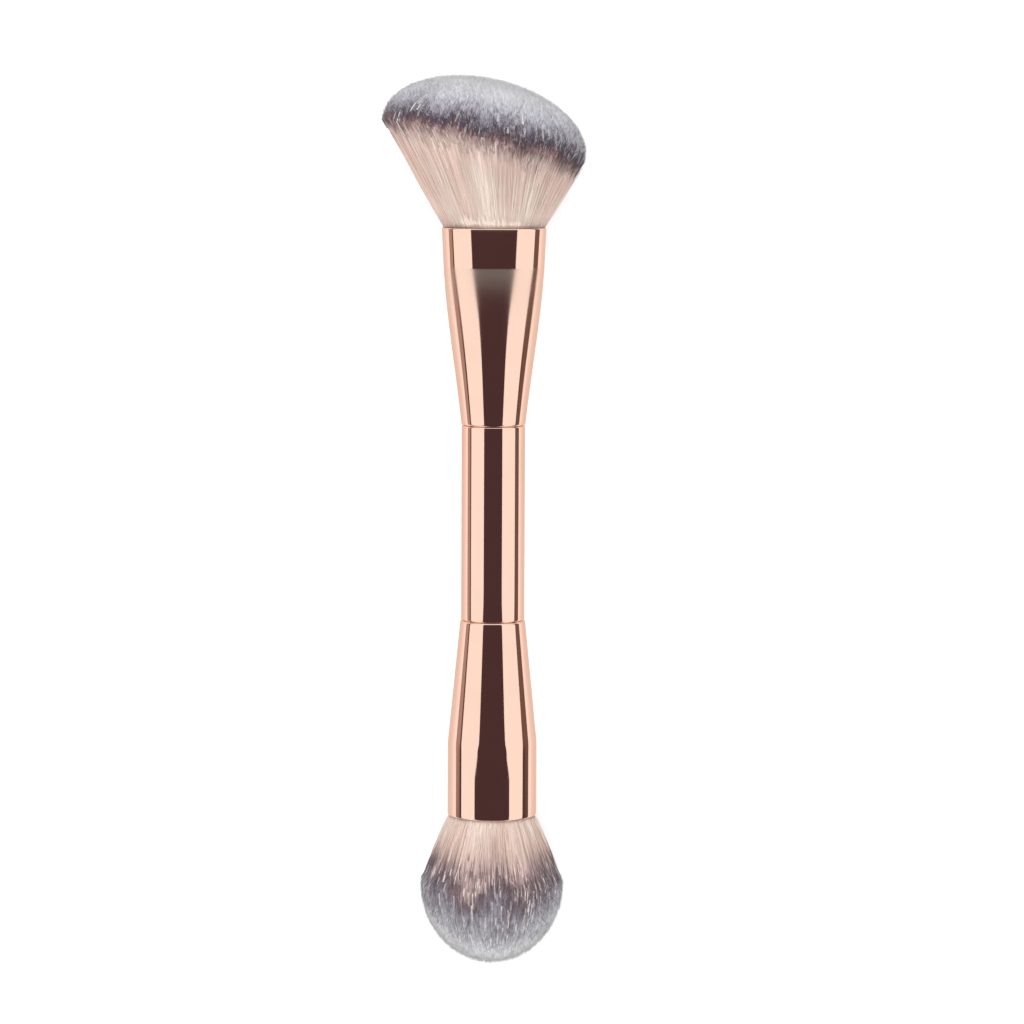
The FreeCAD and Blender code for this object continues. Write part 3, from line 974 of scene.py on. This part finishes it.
    def hairs(self, rng: np.random.Generator, material: bpy.types.Material, bunch: Bunch) -> None:
        """Makes one piece of many hairs, each a closed three-sided spike.

        Args:
            rng: Source of the random draws.
            material: The dyed hair.
            bunch: Which hairs.
        """
        paths = self.drawn_hairs(rng, bunch)
        count, steps, _ = paths.shape
        dye = self.dyed(rng, paths)
        lowest, spread = 0.12, 0.3
        pressed = lowest + spread * rng.random((count, 1)) - self.place.z
        paths[..., 2] = np.maximum(paths[..., 2], pressed)
        taper = np.sqrt(1 - np.linspace(0, 1, steps) ** 3)[:-1]
        radius = (bunch.radius * rng.uniform(0.75, 1.25, (count, 1)) * taper)[..., None, None]
        ahead = np.gradient(paths, axis=1)
        ahead /= np.linalg.norm(ahead, axis=2, keepdims=True)
        side = np.cross(ahead, [0, 0, 1.0])
        side /= np.linalg.norm(side, axis=2, keepdims=True)
        other = np.cross(ahead, side)
        angle = rng.uniform(0, 2 * math.pi, (count, 1, 1)) + np.arange(3) * 2 * math.pi / 3
        angle = angle[..., None]
        rings = paths[:, :-1, None] + radius * (np.cos(angle) * side[:, :-1, None]
                                                + np.sin(angle) * other[:, :-1, None])
        spikes = np.concatenate([rings.reshape(count, -1, 3), paths[:, -1:]], axis=1)
        pick = 0.5 + 0.2 * self.waves(paths[:, -1], Pattern.WARMTH) + rng.normal(0, 0.2, count)
        column = np.floor(np.clip(pick, 0, 0.999) * self.finish.columns)
        corners, counts, uv = self.spike_faces(steps, dye, column)
        add_piece(f"{self.name}_{bunch.tag}", self.node, self.place, spikes, corners, counts,
                  material, uv)

    def spike_faces(self, steps: int, dye: np.ndarray,
                    column: np.ndarray) -> tuple[np.ndarray, np.ndarray, np.ndarray]:
        """Corners, corner counts and map of all spikes.

        Args:
            steps: Points along a hair, the last of which is its tip.
            dye: Place of each point from the dark band's middle, shape (hairs, steps).
            column: The map column of each hair.

        Returns:
            Corner numbers, how many corners each face has, and map coordinates of each corner.
        """
        count, per_hair = len(dye), 3 * (steps - 1) + 1
        ring, side = np.meshgrid(np.arange(steps - 2), np.arange(3), indexing="ij")
        after = (side + 1) % 3
        quads = np.stack([3 * ring + side, 3 * ring + after, 3 * ring + 3 + after, 3 * ring + 3 + side],
                         axis=-1).reshape(-1)
        last = 3 * (steps - 2)
        point = np.array([[last + s, last + (s + 1) % 3, per_hair - 1] for s in range(3)]).reshape(-1)
        pattern = np.concatenate([quads, point, [0, 2, 1]])
        sizes = np.concatenate([np.full(3 * (steps - 2), 4), np.full(4, 3)])
        corners = (np.arange(count)[:, None] * per_hair + pattern).reshape(-1)
        nudge = np.append(np.tile([-0.28, 0.0, 0.28], steps - 1), 0.0)[pattern]
        step = np.append(np.repeat(np.arange(steps - 1), 3), steps - 1)[pattern]
        along = np.clip(self.finish.share(dye), 0.01, 0.99)[:, step]
        along[:, -3:] += [0, 0.004, 0.002]
        across = (column[:, None] + 0.5 + nudge) / self.finish.columns
        return corners, np.tile(sizes, count), np.stack([across, along], axis=-1).reshape(-1, 2)

    def bed(self, rng: np.random.Generator, material: bpy.types.Material, rows: int = 60,
            columns: int = 320) -> None:
        """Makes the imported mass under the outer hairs, a closed surface coloured in short strokes.

        It goes from the middle of the mouth out to its edge, up the flank and over the dome. On the
        flank it is straight between the mouth and the dome's last fall. Each column is cut into
        strokes of two to four rows, and each stroke is dyed as a hair of its own.

        Args:
            rng: Source of the random draws.
            material: The dyed hair.
            rows: Rings between the mouth and the peak.
            columns: Columns round the bundle.
        """
        ring = np.arange(columns)
        turn = ring * 2 * math.pi / columns
        flank = np.linspace(0, 1, rows // 2)[:, None] ** 1.5
        edge = np.full_like(turn, math.radians(self.last_fall))
        edge_depth = 0.35
        foot, rim = self.root_at(edge, turn, 0.15), self.tip_at(edge, turn, edge_depth)
        walls = foot + (rim - foot) * flank[..., None] + self.bulge(flank, edge, turn)
        fall = np.radians(np.linspace(self.last_fall, 0, rows // 2 + 1)[1:-1])[:, None]
        ease = np.sin(np.linspace(0, math.pi / 2, len(fall)))[:, None]
        sink = edge_depth + (self.bedding - edge_depth) * ease
        grid = np.concatenate([walls, self.tip_at(fall, turn + 0 * fall, sink)])
        grid[..., 2] = np.maximum(grid[..., 2], 0.5 - self.place.z)
        poles = np.array([[0, -0.3, 0], self.tip_at(np.zeros(1), np.zeros(1), self.bedding)[0]])
        inner = np.concatenate([grid.reshape(-1, 3), poles])
        bands = len(grid) - 1
        pole, after, top = np.full(columns, len(inner) - 2), (ring + 1) % columns, bands * columns
        fans = np.stack([[ring, after, pole], [pole + 1, top + after, top + ring]]).transpose(0, 2, 1)
        corners = np.concatenate([grid_quads(bands + 1, columns, False), fans.ravel()])
        counts = np.repeat([4, 3], [bands * columns, 2 * columns])
        stroke = np.arange(bands)[:, None] + rng.integers(0, 4, columns)
        stroke //= rng.integers(2, 5, columns)
        lot = rng.integers(0, self.finish.columns, stroke.shape)[stroke, ring].ravel()
        shift = rng.normal(0, self.ragged, stroke.shape)[stroke, ring].ravel()
        shade = np.concatenate([np.repeat(lot, 4), np.repeat(lot[:2 * columns], 3)])
        nudge = 0.3 * np.concatenate([np.tile(part, times) for part, times in (
            ([-1, 1, 1, -1], len(lot)), ([-1, 1, 0], columns), ([0, 1, -1], columns))])
        dye = (self.band_place(inner) - self.drift * self.waves(inner, Pattern.DRIFT))[corners]
        dye[:4 * len(shift)] -= np.repeat(shift, 4)
        along = np.clip(self.finish.share(dye), 0.01, 0.99)
        uv = np.stack([(shade + 0.5 + nudge) / self.finish.columns, along], axis=-1)
        add_piece(f"{self.name}_bed", self.node, self.place, inner, corners, counts,
                  material, uv)

    def build(self) -> None:
        """Makes the bundle's pieces: the bed, the whole hairs of the flanks and the tips."""
        rng = np.random.default_rng(self.seed)
        material = self.finish.material()
        self.bed(rng, material)
        for bunch in (Bunch("outer", count=8000, low=70.0, length=None, steps=5, radius=0.085,
                            depths=(0.0, 0.25)),
                      Bunch("tips", count=45000, low=0.0, length=self.tip_length, steps=2, radius=0.15,
                            depths=(1.8, 3.6))):
            self.hairs(rng, material, bunch)


@dataclass(frozen=True)
class AngledHead(HairHead):
    """The dense fan, whose dark band follows the dome's slanted middle plane."""

    def band_place(self, points: np.ndarray) -> np.ndarray:
        """Height over a slanted band that is flat in the middle and droops near both corners.

        The droop is the fourth power of the distance from the middle over the dome's half width.

        Args:
            points: Places in the end's frame, with three numbers in the last dimension.

        Returns:
            Their heights over the middle of the band.
        """
        sine, cosine = math.sin(math.radians(self.tilt)), math.cos(math.radians(self.tilt))
        across, height = points[..., 0] - self.centre[0], points[..., 1] - self.centre[1]
        out = (across * cosine - height * sine) / self.dome[0]
        return across * sine + height * cosine - 1.1 + 2.2 * np.clip(out, -1, 1) ** 4


@dataclass(frozen=True)
class RoundHead(HairHead):
    """The looser ball, whose dark band lies nearer the tips on its faces than on its sides."""

    def band_place(self, points: np.ndarray) -> np.ndarray:
        """Height over the band, which is higher and wider on the faces.

        It rises and widens with the square of the distance up or down, and falls with the square of
        the distance across.

        Args:
            points: Places in the end's frame, with three numbers in the last dimension.

        Returns:
            Their heights over the middle of the band, stretched as the band is.
        """
        lift, out = (points[..., 2] / self.dome[1]) ** 2, (points[..., 0] / self.dome[0]) ** 2
        return (points[..., 1] - 12.0 - 5.0 * lift + 1.4 * out) / (0.7 + 0.65 * lift)


# Studio

@dataclass(frozen=True)
class Studio:
    """Floor, light and the cards that the metal mirrors.

    Attributes:
        axis: The brush's axis, across and over the table, in millimetres.
        fill: Strength of the even light all round.
        key_power: Power of the large lamp overhead, in watts.
        floor_lift: How much of the floor's white doesn't come from light on it.
        card_height: Height of the dark card over the table.
        card_edge: (half width, place along Y) of the card's side, from far -Y to +Y.
    """

    axis: tuple[float, float]
    fill: float = 0.85
    key_power: float = 5.0
    floor_lift: float = 0.35
    card_height: float = 165.0
    card_edge: tuple[tuple[float, float], ...] = (
        (155, -1500), (150, -87), (116, -78), (106, -52), (97, -35), (97, 30), (100, 60), (100, 160))

    def world(self) -> None:
        """White to the camera and to mirrors, and a plain even light on everything else."""
        world = bpy.data.worlds.new("studio_light")
        bpy.context.scene.world = world
        world.use_nodes = True
        graph = Graph(world.node_tree)
        ray = graph.node("LightPath")
        seen = ray.out("Is Camera Ray").larger(ray.out("Is Glossy Ray"))
        sky = graph.node("Background", inputs={"Color": (1.0, 1.0, 1.0),
                                               "Strength": seen * (1 - self.fill) + self.fill})
        graph.node("OutputWorld", inputs={"Surface": sky})

    def floor(self) -> None:
        """A pale floor that keeps the brush's shadow and turns pure white further out.

        In mirrors it glows instead, with painted warm light that the metal throws on it close by,
        and painted shadow that darkens it nearest the brush.
        """
        material, graph = new_material("pale_floor")
        ray = graph.node("LightPath")
        place = graph.node("TexCoord").out("Object")
        far = graph.node("VectorMath", {"operation": "LENGTH"}, {0: place}).out("Value")
        lift = far.eased(0.16, 0.5) * 0.8 + self.floor_lift
        matt = graph.node("BsdfPrincipled", inputs={
            "Base Color": (0.92, 0.92, 0.92), "Roughness": 1.0, "Specular IOR Level": 0.0,
            "Emission Color": (1.0, 1.0, 1.0), "Emission Strength": lift * ray.out("Is Camera Ray")})
        beside = (graph.node("SeparateXYZ", inputs={0: place}).out("X") - self.axis[0] * MM).size()
        # Painted warm bounce light and painted shadow for mirrors, darkest nearest the brush's axis.
        stops = [(0.15, (0.78, 0.64, 0.57)), (0.28, (0.87, 0.74, 0.69)), (0.45, (1.0, 0.96, 0.95))]
        painted_bounce_shadow = graph.node("ValToRGB", {"stops": stops}, {"Fac": beside * 10.0})
        glow = graph.node("Emission", inputs={"Color": painted_bounce_shadow, "Strength": 1.0})
        finish_surface(graph, {0: ray.out("Is Glossy Ray"), 1: matt, 2: glow}, "MixShader")
        corners = [(-4000, -4000, 0), (4000, -4000, 0), (4000, 4000, 0), (-4000, 4000, 0)]
        self.sheet("pale_floor", corners, [(0, 1, 2, 3)], material, False)

    def sheet(self, name: str, points: list[tuple[float, float, float]],
              faces: list[tuple[int, ...]], material: bpy.types.Material, hidden: bool) -> None:
        """Adds flat faces to the stage, which only mirrors see if they are hidden.

        Args:
            name: The object's name.
            points: Its corners in millimetres.
            faces: Corner numbers of each face.
            material: Its material.
            hidden: True to show it to mirrors alone.
        """
        mesh = bpy.data.meshes.new(name)
        mesh.from_pydata([(x * MM, y * MM, z * MM) for x, y, z in points], [], faces)
        mesh.materials.append(material)
        piece = linked(name, mesh)
        if hidden:
            piece.visible_camera = piece.visible_diffuse = piece.visible_shadow = False
            piece.visible_transmission = piece.visible_volume_scatter = False

    def card(self) -> None:
        """A dark card overhead, wider towards -Y and greyer towards +Y."""
        material, graph = new_material("dark_card")
        place = graph.node("TexCoord").out("Object")
        along = graph.node("SeparateXYZ", inputs={0: place}).out("Y")
        shade = graph.blend(along.eased(0.05, 0.105), (0.069, 0.039, 0.045), (0.156, 0.165, 0.18))
        finish_surface(graph, {"Color": shade, "Strength": 1.0}, "Emission")
        edge = [(-x, y) for x, y in self.card_edge] + list(self.card_edge[::-1])
        points = [(self.axis[0] + x, y, self.card_height) for x, y in edge]
        self.sheet("dark_card", points, [tuple(range(len(points)))], material, True)

    def strip(self, name: str, sign: int, start: float, low: Colour, high: Colour) -> None:
        """A dark strip beside the brush, which lies on the floor and turns up at its far edge.

        It gets darker towards -Y.

        Args:
            name: The strip's name.
            sign: -1 for the side of -X, or 1.
            start: Where it starts beside the axis, in millimetres.
            low: Its colour on the floor.
            high: Its colour where it stands.
        """
        material, graph = new_material(name)
        place = graph.node("SeparateXYZ", inputs={0: graph.node("TexCoord").out("Object")})
        shade = graph.blend(place.out("Z").eased(0.003, 0.008), low, high)
        shade = graph.scaled(shade, place.out("Y").eased(-0.11, -0.04) * 0.5 + 0.5)
        finish_surface(graph, {"Color": shade, "Strength": 1.0}, "Emission")
        section = [(start, 3.0), (420.0, 3.0), (420.0, self.axis[1] + 420 * math.tan(math.radians(4)))]
        points = [(self.axis[0] + sign * x, y, z) for y in (-1500, 1500) for x, z in section]
        self.sheet(name, points, [(0, 1, 4, 3), (1, 2, 5, 4)], material, True)

    def lamps(self) -> None:
        """One large soft lamp overhead, which the metal doesn't mirror."""
        lamp = bpy.data.lights.new("overhead", "AREA")
        lamp.shape, lamp.size = "DISK", 0.9
        lamp.energy = self.key_power
        holder = linked("overhead", lamp)
        holder.location = (-0.12, 0.3, 1.1)
        holder.rotation_euler = (-Vector(holder.location)).to_track_quat("-Z", "Y").to_euler()
        holder.visible_glossy = False

    def build(self) -> None:
        """Sets up the whole studio."""
        self.world()
        self.floor()
        self.card()
        self.strip("left_strip", -1, 60.0, (0.42, 0.3, 0.275), (0.12, 0.07, 0.07))
        self.strip("right_strip", 1, 56.0, (0.17, 0.105, 0.09), (0.17, 0.105, 0.09))
        self.lamps()


@dataclass(frozen=True)
class PhotoCamera:
    """The photograph's camera: overhead, a little towards the angled head.

    Attributes:
        eye: Its place in millimetres.
        aim: What the middle of the picture shows.
        focal: Focal length in pixels of the photograph.
        roll: How far the camera leans towards -X, in radians.
    """

    eye: tuple[float, float, float] = (6.15, 92.4, 880.1)
    aim: tuple[float, float, float] = (6.15, 2.3, 14.6)
    focal: float = 4176.0
    roll: float = 0.0043

    def build(self) -> None:
        """Adds the camera, with +Y at the top of the picture."""
        data = bpy.data.cameras.new("photo_camera")
        data.sensor_width = SENSOR
        data.lens = self.focal / PHOTO_SIDE * SENSOR
        data.clip_start, data.clip_end = 0.05, 20.0
        camera = linked("photo_camera", data)
        eye = Vector(self.eye) * MM
        ahead = (Vector(self.aim) * MM - eye).normalized()
        right = ahead.cross(Vector((-self.roll, 1, 0))).normalized()
        turn = Matrix((right, right.cross(ahead), -ahead)).transposed().to_4x4()
        camera.matrix_world = Matrix.Translation(eye) @ turn
        bpy.context.scene.camera = camera


def shells() -> list[Shell]:
    """Measures the three metal shells on their nodes.

    Returns:
        The shells.
    """
    low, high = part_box("grip_sleeve")
    angled, rounded = place_of(End.ANGLED), place_of(End.ROUND)
    close = 0.055
    sleeve_place = Place(angled.x, high.y / MM + close, angled.z, End.ANGLED)
    grip_length = (high.y - low.y) / MM + 2 * close
    return [
        GripSleeve("grip_sleeve_shell", "grip_sleeve", sleeve_place, grip_length, 0.8, 0.35, 0.35),
        AngledFerrule("angled_ferrule_shell", "angled_ferrule", angled, 41.0, 0.5, 0.35, 0.5, 0.9, 5.8),
        RoundFerrule("round_ferrule_shell", "round_ferrule", rounded, 41.1, 0.5, 0.3, 0.5, 0.9, 5.8),
    ]


def heads() -> list[HairHead]:
    """Dyes and sizes the two bundles of hair.

    Returns:
        The bundles.
    """
    dense = DippedHair(
        "dense_hair", -24.0, 14.0,
        ((-10.0, tone(243, 229, 218)), (-6.0, tone(238, 219, 209)), (-3.4, tone(226, 204, 196)),
         (-1.9, tone(172, 141, 138)), (-0.6, tone(103, 78, 84)), (0.8, tone(74, 61, 73)),
         (2.2, tone(110, 100, 114)), (4.2, tone(184, 181, 192)), (7.5, tone(224, 225, 231)),
         (11.0, tone(250, 250, 252))),
        tone(236, 206, 192), 0.25, 0.04)
    fluffy = DippedHair(
        "fluffy_hair", -18.0, 20.0,
        ((-11.0, tone(242, 226, 214)), (-8.5, tone(236, 216, 205)), (-6.5, tone(216, 192, 184)),
         (-5.0, tone(195, 168, 164)), (-3.5, tone(153, 127, 128)), (-2.0, tone(126, 103, 108)),
         (-0.5, tone(115, 95, 103)), (1.0, tone(117, 105, 115)), (2.5, tone(137, 128, 139)),
         (4.0, tone(151, 144, 155)), (5.5, tone(155, 150, 160)), (7.0, tone(166, 163, 172)),
         (10.0, tone(200, 198, 206)), (15.0, tone(244, 244, 246))),
        tone(232, 200, 187), 0.3, 0.12)
    return [
        AngledHead("angled_hair", "angled_bristles", "dense_hair", place_of(End.ANGLED), dense, seed=11,
                   root=(10.3, 7.5), dome=(21.5, 15.0, 12.2), centre=(-2.2, 18.8), tilt=12.3,
                   swell=(0.0, 0.35)),
        RoundHead("round_hair", "round_bristles", "fluffy_hair", place_of(End.ROUND), fluffy, seed=23,
                  root=(8.73, 8.73), dome=(15.05, 15.05, 16.75), centre=(0.0, 14.9), tilt=0.0,
                  swell=(0.2, 0.2), scatter=0.2, sunk=0.3, stray=0.7, short=0.4, ragged=1.3,
                  drift=1.1, fleck=3.0, reach=12.0, bleach=2.4, tip_length=5.0),
    ]


def dress_fillings() -> None:
    """Gives the hidden glue plugs and connectors their own materials."""
    glue = MottledPlastic("set_glue", tone(214, 190, 140), tone(190, 160, 110), 0.25, 300.0).material()
    plastic = MottledPlastic("moulded_plastic", tone(96, 80, 74), tone(84, 68, 64), 0.45,
                             600.0).material()
    for node, material in (("glue_plug", glue), ("connector", plastic)):
        for end in End:
            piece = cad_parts[f"{end.name.lower()}_{node}"]
            piece.material_slots[0].material = material


def main() -> None:
    """Builds the brush and its studio."""
    logging.basicConfig(level=logging.INFO, format="%(name)s: %(message)s")
    bpy.context.scene.view_settings.view_transform = "Standard"
    PhotoCamera().build()
    place = place_of(End.ANGLED)
    plated = PlatedMetal((place.mouth - AngledFerrule.stations[0][0]) * MM).material()
    for shell in shells():
        shell.build(plated)
    for head in heads():
        head.build()
    dress_fillings()
    Studio((place.x, place.z)).build()


if __name__ == "__main__":
    main()
